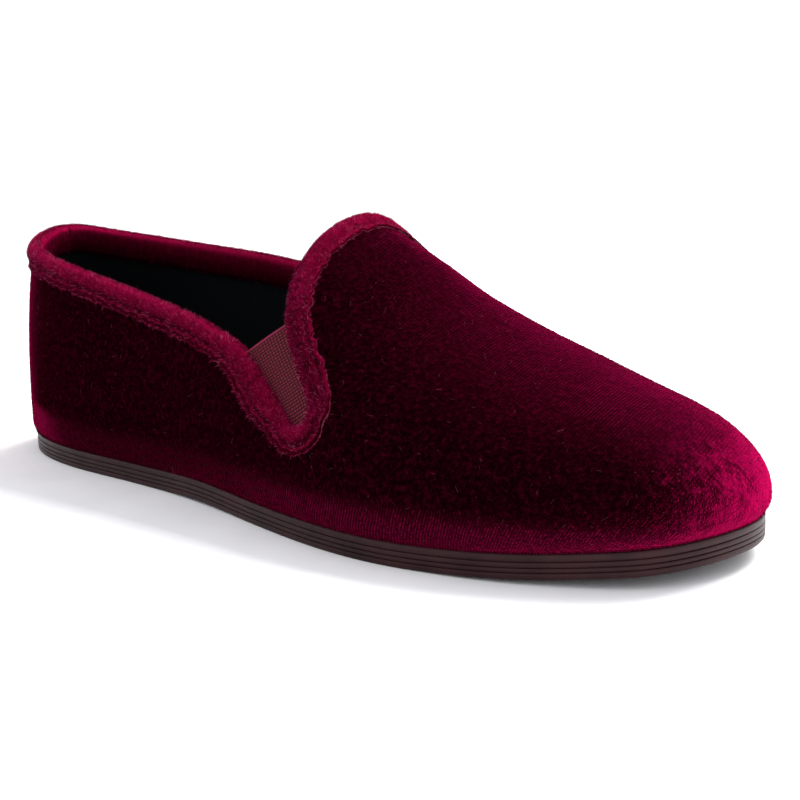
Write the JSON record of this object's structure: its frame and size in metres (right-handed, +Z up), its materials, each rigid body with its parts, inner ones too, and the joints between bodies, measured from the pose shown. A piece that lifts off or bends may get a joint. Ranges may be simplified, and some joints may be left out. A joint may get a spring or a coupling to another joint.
{
  "type": "house slipper",
  "caption": "Closed velvet slip-on slipper with a rounded toe, high instep tongue, elastic side gores, bound topline and thin ribbed rubber sole.",
  "frame": {"origin": "middle of the shoe's box, on the floor that the sole stands on", "axes": "+X from heel to toe, +Y to the inner side of the foot, +Z up"},
  "size_m": [0.2522, 0.0923, 0.0746],
  "materials": {
    "outsole": "dark brown ribbed rubber, satin",
    "insole": "black napped lining cloth",
    "upper": "crimson ribbed velvet with a bright sheen at the edges",
    "topline_binding": "crimson long-pile velvet strip, folded over the topline",
    "gore_outer": "dusty rose woven elastic",
    "gore_inner": "dusty rose woven elastic"
  },
  "bodies": {
    "root": {"outsole": "outsole", "insole": "insole", "upper": "upper", "topline_binding": "topline_binding", "gore_outer": "gore_outer", "gore_inner": "gore_inner"}
  },
  "joints": []
}
